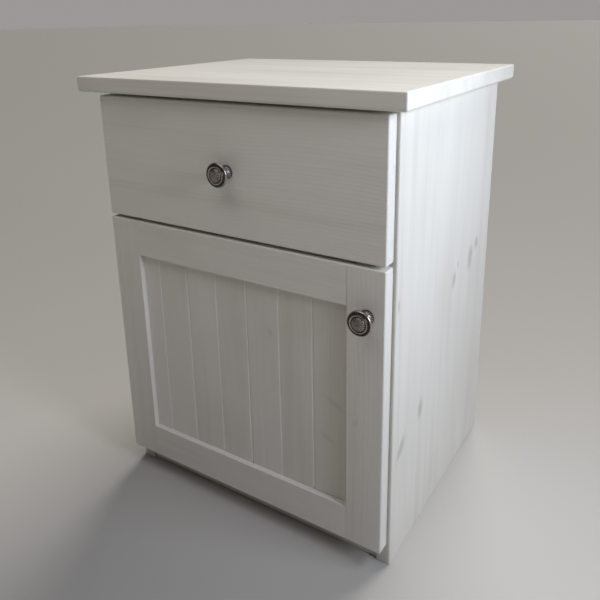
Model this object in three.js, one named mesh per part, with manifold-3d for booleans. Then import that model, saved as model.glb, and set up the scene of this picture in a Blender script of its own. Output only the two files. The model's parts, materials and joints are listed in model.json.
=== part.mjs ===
// Bedside cabinet in limed pine: one drawer over one framed, boarded door.
// Millimetres, +Z up, the fronts face -Y, the origin is on the floor under the middle of the whole box.
// The pieces are drawn with Y = 0 on the carcass's front edges, and the outer group moves them to the origin.
import * as THREE from "three";
import { mergeVertices } from "three/addons/utils/BufferGeometryUtils.js";
import Module from "manifold-3d";

const wasm = await Module();
wasm.setup();

// ---- Driving dimensions ----
const HEIGHT = 600;
const BOARD = 19; // carcass boards, door frame and drawer front
const GLUED = 0.15; // between boards that are glued to each other
const FITTED = 0.3; // between a fitting and what carries it

const TOP = { width: 470, front: -35, thick: 20, underRound: 4, upperRound: 2, corner: 2 };
const TOP_SCREWS = { x: 150, frontY: 31, rearY: 310, bite: 12 };
const CARCASS = { width: 428, depth: 345, ease: 2 };
const BACK_PANEL = { thick: 4, rebateDepth: 5, rebateWidth: 9 };
const BOTTOM_PANEL = { underside: 33 };
const KICK_BOARD = { front: 4, thick: 16 };
const RAIL_DEPTH = 60;
const RAIL_SETBACK = 1;
const MID_RAIL_UNDERSIDE = 400;

const FRONTS = { width: 421, standOff: 2, ease: 2, corner: 2.5 };
const DOOR = { bottom: 32, top: 407, stile: 48, rail: 50, recess: 8, tenonShoulder: 7 };
const DRAWER_FRONT = { bottom: 411.5, top: 575 };

const LINING = { thick: 9, housing: 6.5, cover: 98.3, firstJoint: -84.7, jointBevel: 1.5, beadBevel: 1.2 };
const TONGUE = { thick: 3, reach: 4 };

const DRAWER_BOX = { width: 365, bottom: 430, top: 540, back: 300, board: 12, backInset: 3 };
const DRAWER_BOTTOM = { thick: 4, groove: 6, height: 7.3 };
const FRONT_SCREWS = { x: 120, z: 480, bite: 12 };

const KNOB = { drawerX: 0, drawerZ: 493.5, doorX: 188.5, doorZ: 349.5, reach: 26 };
const KNOB_BORE = { radius: 2.2, depth: 12 };
const KNOB_FOOT = { radius: 8.8, height: 1.4 };
const KNOB_HEAD = { radius: 15.2, rim: 2, rimHeight: 19.2, dome: 8.4 };
const KNOB_RING = { radius: 10.3, thick: 1.6, height: 21 };
const SCREW = { shank: 2, hole: 2.3, head: 4, headHeight: 2.2, recess: 2.6 };

const HINGE = { pinX: -203.8, pinY: -10.5, pinRadius: 1, lowerZ: 112, upperZ: 327 };
const CUP = { x: -190, radius: 17.5, wall: 0.7, depth: 11.5, bore: 17.8, lip: 0.5 };
const WING = { x: -186, halfWidth: 12, halfHeight: 27, corner: 6, thick: 0.9, screwZ: 21, screwHead: 3.4 };
const CHEEK = { left: 1.8, right: 2.6, back: 2.4, inner: 5.3, outer: 6.8 };
const ARM = { x: 13.8, thick: 1.5, half: 5, slant: 97.5, bend: 3, bendAhead: 1.6, eye: 1.7 };
const ARM_BODY = { gap: 0.4, thick: 3.8, half: 6.5, y: [14, 54], lockY: 42, lockRadius: 3 };
const PLATE = { thick: 3.5, half: 9, y: [20, 54] };
const PLATE_WING = { thick: 1.5, half: 23, y: [30, 44], screwZ: 16, screwHead: 3.8 };

const RUNNER = { sheet: 1.2, length: 300, front: 2, sideGap: 0.4 };
const CHANNEL = { floor: 429.7, height: 22, flange: 9.2 };
const ANGLE = { foot: 13, shelf: 8.6 };
const ROLLER = { radius: 9.5, edge: 0.6, bore: 2.25, height: 9.8, frontWidth: 6.4, rearWidth: 7.2 };
const AXLE = { radius: 2, rooted: 0.4, play: 0.5, head: 3.4, headThick: 0.8, frontY: 14, rearY: 288 };

const CATCH = { x: [140, 180], front: 3, back: 19, height: 13, wall: 4, magnetFace: -0.3, strike: 1 };
const BUFFER = { radius: 4, inset: 16, fromSide: 9, face: -0.3 };

const SIDE_X = CARCASS.width / 2;
const INNER_X = SIDE_X - BOARD;
const FRONT_X = FRONTS.width / 2;
const FRONTS_BACK = -FRONTS.standOff;
const FRONTS_FACE = FRONTS_BACK - BOARD;
const TOP_UNDERSIDE = HEIGHT - TOP.thick;
const REBATE_Y = CARCASS.depth - BACK_PANEL.rebateDepth;

// ---- Materials ----
function finish(color, roughness, metalness) {
  return new THREE.MeshStandardMaterial({ color, roughness, metalness });
}
const MATERIALS = {
  limedPine: finish(0xc9c5ba, 0.6, 0),
  barePine: finish(0xd9b98a, 0.65, 0),
  plywood: finish(0xcdb591, 0.7, 0),
  agedBronze: finish(0x4a3d35, 0.35, 0.9),
  plainSteel: finish(0xb4b6b8, 0.35, 0.95),
  coatedSteel: finish(0xe6e4de, 0.45, 0.1),
  nylon: finish(0xe9e7e0, 0.5, 0),
  blackPlastic: finish(0x2a2a2b, 0.55, 0),
  clearRubber: finish(0xd7d9d8, 0.4, 0),
};

// ---- Shaping helpers ----
// A closed geometry as a solid, with its faces turned outwards.
function solid(geometry) {
  geometry.deleteAttribute("normal");
  geometry.deleteAttribute("uv");
  const merged = mergeVertices(geometry, 1e-4);
  const vertProperties = new Float32Array(merged.attributes.position.array);
  const triVerts = new Uint32Array(merged.index.array);
  const made = new wasm.Manifold(new wasm.Mesh({ numProp: 3, vertProperties, triVerts }));
  if (made.volume() > 0) return made;
  for (let i = 0; i < triVerts.length; i += 3) {
    [triVerts[i + 1], triVerts[i + 2]] = [triVerts[i + 2], triVerts[i + 1]];
  }
  return new wasm.Manifold(new wasm.Mesh({ numProp: 3, vertProperties, triVerts }));
}

function block([x0, x1], [y0, y1], [z0, z1]) {
  const geometry = new THREE.BoxGeometry(Math.abs(x1 - x0), Math.abs(y1 - y0), Math.abs(z1 - z0));
  return solid(geometry.translate((x0 + x1) / 2, (y0 + y1) / 2, (z0 + z1) / 2));
}

function extruded(outline, length) {
  const shape = new THREE.Shape(outline.map(([u, v]) => new THREE.Vector2(u, v)));
  return new THREE.ExtrudeGeometry(shape, { depth: length, bevelEnabled: false });
}

// An outline of (x, y) points drawn up from z0 to z1.
function alongZ(outline, [z0, z1]) {
  return solid(extruded(outline, z1 - z0).translate(0, 0, z0));
}

// An outline of (x, z) points drawn back from y0 to y1.
function alongY(outline, [y0, y1]) {
  return solid(extruded(outline, y1 - y0).rotateX(Math.PI / 2).translate(0, y1, 0));
}

// A profile of (radius, height) points turned about an axis through centre, with its height along +axis.
function turned(profile, axis, [x, y, z], segments = 24) {
  const points = profile.map(([radius, height]) => new THREE.Vector2(radius, height));
  const geometry = new THREE.LatheGeometry(points, segments);
  if (axis === "x") geometry.rotateZ(-Math.PI / 2);
  if (axis === "z") geometry.rotateX(Math.PI / 2);
  return solid(geometry.translate(x, y, z));
}

function rod(radius, axis, centre, [from, to], segments = 24) {
  return turned([[0, from], [radius, from], [radius, to], [0, to]], axis, centre, segments);
}

// A solid through a stack of outlines with the same number of points.
function loft(rings) {
  const count = rings[0].length;
  const index = [];
  for (let level = 0; level < rings.length - 1; level++) {
    for (let i = 0; i < count; i++) {
      const a = level * count + i;
      const b = level * count + ((i + 1) % count);
      index.push(a, b, b + count, a, b + count, a + count);
    }
  }
  const last = (rings.length - 1) * count;
  for (let i = 1; i < count - 1; i++) {
    index.push(0, i + 1, i, last, last + i, last + i + 1);
  }
  const positions = new THREE.Float32BufferAttribute(rings.flat(2), 3);
  return solid(new THREE.BufferGeometry().setAttribute("position", positions).setIndex(index));
}

// A quarter circle as [inset, run] pairs: the inset falls from the radius to 0 while the run grows to it.
function quarterRound(radius, steps) {
  return Array.from({ length: steps + 1 }, (_, i) => {
    const angle = (i / steps) * (Math.PI / 2);
    return [radius * (1 - Math.sin(angle)), radius * (1 - Math.cos(angle))];
  });
}

// Points along an arc about (u, v), from one angle in degrees to another.
function arc(u, v, radius, from, to, steps) {
  return Array.from({ length: steps + 1 }, (_, i) => {
    const angle = THREE.MathUtils.degToRad(from + ((to - from) * i) / steps);
    return [u + radius * Math.cos(angle), v + radius * Math.sin(angle)];
  });
}

// A rectangle with round corners, given by its middle, its half sizes and the corners' radius.
function roundedOutline(u, v, halfU, halfV, radius, steps) {
  const corners = [[1, 1], [-1, 1], [-1, -1], [1, -1]];
  return corners.flatMap(([alongU, alongV], i) => {
    const centre = [u + alongU * (halfU - radius), v + alongV * (halfV - radius)];
    return arc(...centre, radius, 90 * i, 90 * (i + 1), steps);
  });
}

// Makes the left piece and then the right one, with -1 or 1 for the direction of X.
function both(make) {
  make("left", -1);
  make("right", 1);
}

// ---- Groups: what stands still, what slides and what swings ----
const cabinet = new THREE.Group();
const carcass = new THREE.Group();
const drawer = new THREE.Group();
const door = new THREE.Group();
cabinet.add(carcass, drawer, door);

function add(group, name, shape, material) {
  const { vertProperties, triVerts } = shape.getMesh();
  const geometry = new THREE.BufferGeometry();
  geometry.setAttribute("position", new THREE.BufferAttribute(vertProperties, 3));
  geometry.setIndex(new THREE.BufferAttribute(triVerts, 1));
  const mesh = new THREE.Mesh(geometry, material);
  mesh.name = name;
  group.add(mesh);
}

// A screw along an axis, from its tip to the underside of its head. The head is domed and stands beyond that.
function screw(axis, centre, tip, underHead) {
  const headwards = Math.sign(underHead - tip);
  const dome = underHead + headwards * SCREW.headHeight;
  const shoulder = underHead + headwards * SCREW.headHeight * 0.4;
  const profile = [
    [0, tip],
    [SCREW.shank, tip + headwards],
    [SCREW.shank, underHead],
    [SCREW.head, underHead],
    [SCREW.head, shoulder],
    [SCREW.head * 0.6, dome],
    [0, dome],
  ];
  return turned(profile, axis, centre, 16);
}

// ---- Carcass ----
const span = [-(INNER_X - GLUED), INNER_X - GLUED];
const topScrewPlaces = [
  [-TOP_SCREWS.x, TOP_SCREWS.frontY],
  [TOP_SCREWS.x, TOP_SCREWS.frontY],
  [-TOP_SCREWS.x, TOP_SCREWS.rearY],
  [TOP_SCREWS.x, TOP_SCREWS.rearY],
];
const topRailZ = [TOP_UNDERSIDE - GLUED - BOARD, TOP_UNDERSIDE - GLUED];

function side(direction) {
  const { depth, ease } = CARCASS;
  const outline = [
    [INNER_X + ease / 2, 0],
    ...arc(SIDE_X - ease, ease, ease, 270, 360, 3),
    [SIDE_X, depth],
    [INNER_X + BACK_PANEL.rebateWidth, depth],
    [INNER_X + BACK_PANEL.rebateWidth, REBATE_Y],
    [INNER_X, REBATE_Y],
    [INNER_X, ease / 2],
  ];
  return alongZ(outline.map(([x, y]) => [direction * x, y]), [0, TOP_UNDERSIDE - GLUED]);
}
both((name, direction) => add(carcass, `side_${name}`, side(direction), MATERIALS.limedPine));

// The top: square at the back, and with rounded edges along the front and both ends.
function topBoard() {
  const under = quarterRound(TOP.underRound, 6).map(([inset, run]) => [inset, TOP_UNDERSIDE + run]);
  const upper = quarterRound(TOP.upperRound, 4).map(([inset, run]) => [inset, HEIGHT - run]).reverse();
  const rings = [...under, ...upper].map(([inset, z]) => {
    const radius = Math.max(TOP.corner - inset, 0.5);
    const x = TOP.width / 2 - inset;
    const y = TOP.front + inset;
    const ring = [
      [x, CARCASS.depth],
      [-x, CARCASS.depth],
      ...arc(-x + radius, y + radius, radius, 180, 270, 4),
      ...arc(x - radius, y + radius, radius, 270, 360, 4),
    ];
    return ring.map((point) => [...point, z]);
  });
  return loft(rings);
}

function screwHole(x, y) {
  return rod(SCREW.hole, "z", [x, y, 0], [topRailZ[0] - 1, TOP_UNDERSIDE + TOP_SCREWS.bite + 1], 16);
}
const drilled = (shape) => topScrewPlaces.reduce((rest, [x, y]) => rest.subtract(screwHole(x, y)), shape);
const frontRailY = [RAIL_SETBACK, RAIL_SETBACK + RAIL_DEPTH];
const rearRailY = [REBATE_Y - RAIL_DEPTH, REBATE_Y - GLUED];
add(carcass, "top", drilled(topBoard()), MATERIALS.limedPine);
add(carcass, "top_rail_front", drilled(block(span, frontRailY, topRailZ)), MATERIALS.limedPine);
add(carcass, "top_rail_rear", drilled(block(span, rearRailY, topRailZ)), MATERIALS.limedPine);
topScrewPlaces.forEach(([x, y], i) => {
  const shape = screw("z", [x, y, 0], TOP_UNDERSIDE + TOP_SCREWS.bite, topRailZ[0] - FITTED);
  add(carcass, `top_screw_${i + 1}`, shape, MATERIALS.plainSteel);
});

const midRailZ = [MID_RAIL_UNDERSIDE, MID_RAIL_UNDERSIDE + BOARD];
const bottomZ = [BOTTOM_PANEL.underside, BOTTOM_PANEL.underside + BOARD];
const bottomY = [RAIL_SETBACK, REBATE_Y - GLUED];
add(carcass, "mid_rail_front", block(span, frontRailY, midRailZ), MATERIALS.limedPine);
add(carcass, "mid_rail_rear", block(span, rearRailY, midRailZ), MATERIALS.limedPine);
add(carcass, "bottom_panel", block(span, bottomY, bottomZ), MATERIALS.limedPine);

const kickY = [KICK_BOARD.front, KICK_BOARD.front + KICK_BOARD.thick];
add(carcass, "kick_board", block(span, kickY, [0, BOTTOM_PANEL.underside - GLUED]), MATERIALS.limedPine);

const panelX = INNER_X + BACK_PANEL.rebateWidth - FITTED;
const panelY = [REBATE_Y + FITTED, REBATE_Y + FITTED + BACK_PANEL.thick];
const panelZ = [BOTTOM_PANEL.underside, TOP_UNDERSIDE - FITTED];
add(carcass, "back_panel", block([-panelX, panelX], panelY, panelZ), MATERIALS.plywood);

// ---- Slabs with eased edges for the drawer front and the door ----
function easedSlab(z0, z1) {
  const round = quarterRound(FRONTS.ease, 3);
  const levels = [
    ...round.map(([inset, run]) => [inset, FRONTS_BACK - run]),
    ...round.map(([inset, run]) => [inset, FRONTS_FACE + run]).reverse(),
  ];
  return loft(levels.map(([inset, y]) => {
    const radius = Math.max(FRONTS.corner - inset, 0.4);
    const ring = roundedOutline(0, (z0 + z1) / 2, FRONT_X - inset, (z1 - z0) / 2 - inset, radius, 2);
    return ring.map(([x, z]) => [x, y, z]);
  }));
}

// ---- Door: stiles and rails around tongue-and-groove lining ----
const recessX = FRONT_X - DOOR.stile;
const recessZ = [DOOR.bottom + DOOR.rail, DOOR.top - DOOR.rail];
const liningY = [FRONTS_FACE + DOOR.recess, FRONTS_FACE + DOOR.recess + LINING.thick];
const housingY = [liningY[0] - GLUED, liningY[1] + GLUED];
const housingReach = LINING.housing + GLUED;
const doorSlab = easedSlab(DOOR.bottom, DOOR.top);
const everyZ = [DOOR.bottom - 1, DOOR.top + 1];
const frameY = [FRONTS_FACE - 1, FRONTS_BACK + 1];

function stile(direction) {
  const blank = block([direction * recessX, direction * (FRONT_X + 1)], frameY, everyZ).intersect(doorSlab);
  const housingX = [direction * (recessX - 1), direction * (recessX + housingReach)];
  return blank.subtract(block(housingX, housingY, everyZ));
}

function doorRail(inner, outer, outwards) {
  const blank = block([-recessX + GLUED, recessX - GLUED], frameY, [inner, outer]).intersect(doorSlab);
  const tenonX = recessX + LINING.housing - GLUED;
  const tenonZ = [inner + outwards * housingReach, outer - outwards * DOOR.tenonShoulder];
  const tenon = block([-tenonX, tenonX], [liningY[0], liningY[1]], tenonZ);
  const housingX = [-FRONT_X, FRONT_X];
  const housingZ = [inner - outwards, inner + outwards * housingReach];
  return blank.add(tenon).subtract(block(housingX, housingY, housingZ));
}

const knobHole = (x, z) => rod(SCREW.hole, "y", [x, 0, z], [FRONTS_FACE - 1, 20], 16);
const recessFloor = FRONTS_BACK - SCREW.recess;
const headRecess = rod(SCREW.head + FITTED, "y", [KNOB.doorX, 0, KNOB.doorZ], [recessFloor, 1], 16);
const hingeHeights = [["lower", HINGE.lowerZ], ["upper", HINGE.upperZ]];
const cupBore = (z) => rod(CUP.bore, "y", [CUP.x, 0, z], [FRONTS_BACK - CUP.depth - FITTED, 1], 48);

const stileLeft = hingeHeights.reduce((rest, [, z]) => rest.subtract(cupBore(z)), stile(-1));
const stileRight = stile(1).subtract(knobHole(KNOB.doorX, KNOB.doorZ)).subtract(headRecess);
add(door, "door_stile_left", stileLeft, MATERIALS.limedPine);
add(door, "door_stile_right", stileRight, MATERIALS.limedPine);
add(door, "door_rail_top", doorRail(recessZ[1], DOOR.top + 1, 1), MATERIALS.limedPine);
add(door, "door_rail_bottom", doorRail(recessZ[0], DOOR.bottom - 1, -1), MATERIALS.limedPine);

// One lining board in plan: bevelled at each joint, a bead down its middle, a tongue on its right edge and
// a groove in its left. The outer boards are cut square where they enter the stiles.
function liningBoard(x0, x1, squareLeft, squareRight) {
  const [face, back] = liningY;
  const middle = face + LINING.thick / 2;
  const tongue = [middle - TONGUE.thick / 2, middle + TONGUE.thick / 2];
  const groove = [tongue[0] - GLUED, tongue[1] + GLUED];
  const grooveFloor = x0 + TONGUE.reach + FITTED;
  const joint = LINING.jointBevel;
  const bead = LINING.beadBevel;
  const beadX = squareLeft ? x1 - LINING.cover / 2 : x0 + LINING.cover / 2;
  const squareEnd = (x) => [[x, back], [x, face]];
  const grooved = [
    [x0, back],
    [x0, groove[1]],
    [grooveFloor, groove[1]],
    [grooveFloor, groove[0]],
    [x0, groove[0]],
    [x0, face + joint],
    [x0 + joint, face],
  ];
  const tongued = [
    [x1 - joint, face],
    [x1, face + joint],
    [x1, tongue[0]],
    [x1 + TONGUE.reach, tongue[0]],
    [x1 + TONGUE.reach, tongue[1]],
    [x1, tongue[1]],
    [x1, back],
  ];
  const left = squareLeft ? squareEnd(x0) : grooved;
  const right = squareRight ? squareEnd(x1).reverse() : tongued;
  const middleBead = [[beadX - bead, face], [beadX, face + bead], [beadX + bead, face]];
  const ends = [recessZ[0] - LINING.housing + GLUED, recessZ[1] + LINING.housing - GLUED];
  return alongZ([...left, ...middleBead, ...right], ends);
}

const liningEdge = recessX + LINING.housing - GLUED;
const joints = [0, 1, 2].map((i) => LINING.firstJoint + i * LINING.cover);
const starts = [-liningEdge, ...joints.map((x) => x + GLUED / 2)];
const finishes = [...joints.map((x) => x - GLUED / 2), liningEdge];
starts.forEach((x0, i) => {
  const board = liningBoard(x0, finishes[i], i === 0, i === starts.length - 1);
  add(door, `door_lining_${i + 1}`, board, MATERIALS.limedPine);
});

// ---- Drawer ----
const boxX = DRAWER_BOX.width / 2;
const boxInnerX = boxX - DRAWER_BOX.board;
const boxFrontY = FRONTS_BACK + FITTED;
const boxZ = [DRAWER_BOX.bottom, DRAWER_BOX.top];
const grooveFloorZ = DRAWER_BOX.bottom + DRAWER_BOTTOM.height;
const grooveZ = [grooveFloorZ, grooveFloorZ + DRAWER_BOTTOM.thick + 2 * FITTED];
const boxFrontBack = boxFrontY + DRAWER_BOX.board;
const frontScrewPlaces = [["left", -FRONT_SCREWS.x], ["right", FRONT_SCREWS.x]];
const frontScrewTip = FRONTS_BACK - FRONT_SCREWS.bite;

const frontPilotY = [frontScrewTip - 1, boxFrontBack + 1];
const frontPilot = (x) => rod(SCREW.hole, "y", [x, 0, FRONT_SCREWS.z], frontPilotY, 16);
const drilledFront = (shape) => frontScrewPlaces
  .reduce((rest, [, x]) => rest.subtract(frontPilot(x)), shape)
  .subtract(knobHole(KNOB.drawerX, KNOB.drawerZ));
const drawerSlab = easedSlab(DRAWER_FRONT.bottom, DRAWER_FRONT.top);
add(drawer, "drawer_front", drilledFront(drawerSlab), MATERIALS.limedPine);

both((name, direction) => {
  const outline = [
    [boxInnerX, boxZ[0]],
    [boxX, boxZ[0]],
    [boxX, boxZ[1]],
    [boxInnerX, boxZ[1]],
    [boxInnerX, grooveZ[1]],
    [boxInnerX + DRAWER_BOTTOM.groove, grooveZ[1]],
    [boxInnerX + DRAWER_BOTTOM.groove, grooveZ[0]],
    [boxInnerX, grooveZ[0]],
  ];
  const shape = alongY(outline.map(([x, z]) => [direction * x, z]), [boxFrontY, DRAWER_BOX.back]);
  add(drawer, `drawer_side_${name}`, shape, MATERIALS.barePine);
});

const crossX = [-(boxInnerX - GLUED), boxInnerX - GLUED];
const boxFrontGroove = block([-boxX, boxX], [boxFrontBack - DRAWER_BOTTOM.groove, boxFrontBack + 1], grooveZ);
const boxFront = block(crossX, [boxFrontY, boxFrontBack], boxZ).subtract(boxFrontGroove);
add(drawer, "drawer_box_front", drilledFront(boxFront), MATERIALS.barePine);
const boxBackFace = DRAWER_BOX.back - DRAWER_BOX.backInset;
const boxBackY = [boxBackFace - DRAWER_BOX.board, boxBackFace];
add(drawer, "drawer_box_back", block(crossX, boxBackY, [grooveZ[1] + GLUED, boxZ[1]]), MATERIALS.barePine);
const drawerBottomX = boxInnerX + DRAWER_BOTTOM.groove - FITTED;
const drawerBottomY = [boxFrontBack - DRAWER_BOTTOM.groove + FITTED, DRAWER_BOX.back];
const drawerBottomZ = [grooveZ[0] + FITTED, grooveZ[1] - FITTED];
const drawerBottom = block([-drawerBottomX, drawerBottomX], drawerBottomY, drawerBottomZ);
add(drawer, "drawer_bottom", drawerBottom, MATERIALS.plywood);

frontScrewPlaces.forEach(([name, x]) => {
  const shape = screw("y", [x, 0, FRONT_SCREWS.z], frontScrewTip, boxFrontBack + FITTED);
  add(drawer, `drawer_front_screw_${name}`, shape, MATERIALS.plainSteel);
});

// ---- Knobs and their screws ----
// Radius and height above the face: a flared foot, a narrow neck, and a mushroom head with a rim, a ring and
// a low dome. The profile begins at the end of the screw's bore.
function knobProfile() {
  const { radius, rim, rimHeight, dome } = KNOB_HEAD;
  const rimRadius = radius - rim;
  const neck = new THREE.CubicBezierCurve(
    new THREE.Vector2(KNOB_FOOT.radius, KNOB_FOOT.height),
    new THREE.Vector2(3, 3),
    new THREE.Vector2(3, 12),
    new THREE.Vector2(rimRadius + 0.4, rimHeight - rim),
  );
  const domeRise = KNOB.reach - (KNOB_RING.height + KNOB_RING.thick);
  const domeRadius = (dome ** 2 + domeRise ** 2) / (2 * domeRise);
  const domeEdge = THREE.MathUtils.radToDeg(Math.acos(dome / domeRadius));
  return [
    [0, KNOB_BORE.depth],
    [KNOB_BORE.radius, KNOB_BORE.depth],
    [KNOB_BORE.radius, FITTED],
    [KNOB_FOOT.radius - 0.4, FITTED],
    ...neck.getPoints(8).map(({ x, y }) => [x, y]),
    ...arc(rimRadius, rimHeight, rim, -60, 110, 5),
    ...arc(KNOB_RING.radius, KNOB_RING.height, KNOB_RING.thick, 10, 170, 4),
    ...arc(0, KNOB.reach - domeRadius, domeRadius, domeEdge, 90, 4),
  ];
}

function knob(x, z) {
  return turned(knobProfile().map(([radius, height]) => [radius, -height]), "y", [x, FRONTS_FACE, z], 32);
}
const knobScrewTip = FRONTS_FACE - KNOB_BORE.depth + 1;
add(drawer, "drawer_knob", knob(KNOB.drawerX, KNOB.drawerZ), MATERIALS.agedBronze);
add(door, "door_knob", knob(KNOB.doorX, KNOB.doorZ), MATERIALS.agedBronze);
const drawerKnobScrew = screw("y", [KNOB.drawerX, 0, KNOB.drawerZ], knobScrewTip, boxFrontBack + FITTED);
const doorKnobScrew = screw("y", [KNOB.doorX, 0, KNOB.doorZ], knobScrewTip, recessFloor + FITTED);
add(drawer, "drawer_knob_screw", drawerKnobScrew, MATERIALS.plainSteel);
add(door, "door_knob_screw", doorKnobScrew, MATERIALS.plainSteel);

// ---- Drawer runners: a channel on each side of the carcass, an angle under each drawer side ----
const channelX = INNER_X - RUNNER.sideGap;
const channelWeb = channelX - RUNNER.sheet;
const angleX = boxX + FITTED + RUNNER.sheet;
const rollerZ = CHANNEL.floor + ROLLER.height;
const shelfZ = rollerZ + ROLLER.radius + FITTED;

// A roller and its axle. The axle is riveted into an upright wall at x = root, and reach is the direction it
// points in. With direction -1 both are mirrored to the left side.
function rollerOnAxle(root, reach, width, y, direction) {
  const { radius, edge, bore } = ROLLER;
  const { play } = AXLE;
  const far = play + width;
  const underHead = far + play;
  const tip = underHead + AXLE.headThick;
  const axle = [
    [0, -AXLE.rooted],
    [AXLE.radius, -AXLE.rooted],
    [AXLE.radius, underHead],
    [AXLE.head, underHead],
    [AXLE.head, tip],
    [0, tip],
  ];
  const wheel = [
    [bore, play],
    [radius - edge, play],
    [radius, play + edge],
    [radius, far - edge],
    [radius - edge, far],
    [bore, far],
    [bore, play],
  ];
  const placed = (profile) => profile.map(([r, distance]) => [r, direction * (root + reach * distance)]);
  const centre = [0, y, rollerZ];
  return { axle: turned(placed(axle), "x", centre, 16), wheel: turned(placed(wheel), "x", centre) };
}

both((name, direction) => {
  const { sheet, front, length } = RUNNER;
  const { floor, height, flange } = CHANNEL;
  const lip = channelX - flange;
  const channel = [
    [channelX, floor - sheet],
    [lip, floor - sheet],
    [lip, floor],
    [channelWeb, floor],
    [channelWeb, floor + height],
    [lip, floor + height],
    [lip, floor + height + sheet],
    [channelX, floor + height + sheet],
  ];
  const channelShape = alongY(channel.map(([x, z]) => [direction * x, z]), [front, front + length]);
  const rolling = rollerOnAxle(channelWeb, -1, ROLLER.frontWidth, AXLE.frontY, direction);
  add(carcass, `runner_channel_${name}`, channelShape.add(rolling.axle), MATERIALS.coatedSteel);
  add(carcass, `roller_front_${name}`, rolling.wheel, MATERIALS.nylon);
});

both((name, direction) => {
  const { sheet, length } = RUNNER;
  const underZ = DRAWER_BOX.bottom - FITTED - sheet;
  const footX = angleX - ANGLE.foot;
  const shelfX = angleX + ANGLE.shelf;
  const angle = [
    [footX, underZ],
    [angleX, underZ],
    [angleX, shelfZ],
    [shelfX, shelfZ],
    [shelfX, shelfZ + sheet],
    [angleX - sheet, shelfZ + sheet],
    [angleX - sheet, underZ + sheet],
    [footX, underZ + sheet],
  ];
  const angleShape = alongY(angle.map(([x, z]) => [direction * x, z]), [0, length]);
  const rolling = rollerOnAxle(angleX, 1, ROLLER.rearWidth, AXLE.rearY, direction);
  add(drawer, `runner_angle_${name}`, angleShape.add(rolling.axle), MATERIALS.coatedSteel);
  add(drawer, `roller_rear_${name}`, rolling.wheel, MATERIALS.nylon);
});

// ---- Hinges: a cup in the left stile, a pin across it, an arm to a plate on the left side ----
const cupMouth = FRONTS_BACK + FITTED;
const cupFloor = FRONTS_BACK - CUP.depth;

function hingeCup(z) {
  const { x, radius, wall, lip } = CUP;
  const bowl = turned([
    [0, cupFloor],
    [radius, cupFloor],
    [radius, cupMouth],
    [radius + lip, cupMouth],
    [radius + lip, cupMouth + lip],
    [radius - wall, cupMouth + lip],
    [radius - wall, cupFloor + wall],
    [0, cupFloor + wall],
  ], "y", [x, 0, z], 48);
  const wingBack = cupMouth + WING.thick;
  const mouth = rod(radius - wall / 2, "y", [x, 0, z], [cupMouth - 1, wingBack + 1], 48);
  const wingOutline = roundedOutline(WING.x, z, WING.halfWidth, WING.halfHeight, WING.corner, 3);
  const wing = alongY(wingOutline, [cupMouth, wingBack]);
  const screwHeadY = [wingBack - 0.2, wingBack + 0.7];
  const screwHead = (up) => rod(WING.screwHead, "y", [WING.x, 0, z + up], screwHeadY, 16);
  const cheek = (up) => block(
    [HINGE.pinX - CHEEK.left, HINGE.pinX + CHEEK.right],
    [cupFloor + wall / 2, HINGE.pinY + CHEEK.back],
    [z + up * CHEEK.inner, z + up * CHEEK.outer],
  );
  const pinReach = CHEEK.outer + 1;
  const pinHole = rod(HINGE.pinRadius + 0.2, "z", [HINGE.pinX, HINGE.pinY, z], [-pinReach, pinReach], 16);
  return bowl
    .add(wing.subtract(mouth))
    .add(screwHead(WING.screwZ))
    .add(screwHead(-WING.screwZ))
    .add(cheek(1))
    .add(cheek(-1))
    .subtract(pinHole);
}

// A bent strip in plan: the centreline's points, each side offset square to its neighbours.
function strip(points, thickness) {
  const along = points.map((_, i) => {
    const before = points[Math.max(i - 1, 0)];
    const after = points[Math.min(i + 1, points.length - 1)];
    return new THREE.Vector2(after[0] - before[0], after[1] - before[1]).normalize();
  });
  const edge = (sign) => points.map(([x, y], i) => [
    x - sign * along[i].y * thickness / 2,
    y + sign * along[i].x * thickness / 2,
  ]);
  return [...edge(1), ...edge(-1).reverse()];
}

// The arm leaves the pin on a slant towards the cup's floor, bends back, and runs out of the cup to its body,
// which lies on the mounting plate.
const plateFoot = -(INNER_X - FITTED);
const plateTop = plateFoot + PLATE.thick;

function hingeArm(z) {
  const { pinX: x, pinY: y, pinRadius } = HINGE;
  const { half } = ARM;
  const bend = arc(x + ARM.x - ARM.bend, y + ARM.bendAhead, ARM.bend, -ARM.slant, 0, 4);
  const tongue = alongZ(strip([[x, y], ...bend, [x + ARM.x, PLATE.y[0]]], ARM.thick), [z - half, z + half]);
  const eye = rod(ARM.eye, "z", [x, y, z], [-half, half], 16);
  const bodyX = [plateTop + ARM_BODY.gap, plateTop + ARM_BODY.gap + ARM_BODY.thick];
  const body = block(bodyX, ARM_BODY.y, [z - ARM_BODY.half, z + ARM_BODY.half]);
  const lockScrew = rod(ARM_BODY.lockRadius, "x", [bodyX[1], ARM_BODY.lockY, z], [-0.5, 1], 16);
  const bore = rod(pinRadius + 0.25, "z", [x, y, z], [-half - 1, half + 1], 16);
  return tongue.add(eye).add(body).add(lockScrew).subtract(bore);
}

function hingePlate(z) {
  const { thick, half, y, screwZ, screwHead } = PLATE_WING;
  const core = block([plateFoot, plateTop], PLATE.y, [z - PLATE.half, z + PLATE.half]);
  const wings = block([plateFoot, plateFoot + thick], y, [z - half, z + half]);
  const head = (up) => rod(screwHead, "x", [plateFoot + thick, (y[0] + y[1]) / 2, z + up], [-0.3, 1.1], 16);
  return core.add(wings).add(head(screwZ)).add(head(-screwZ));
}

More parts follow.
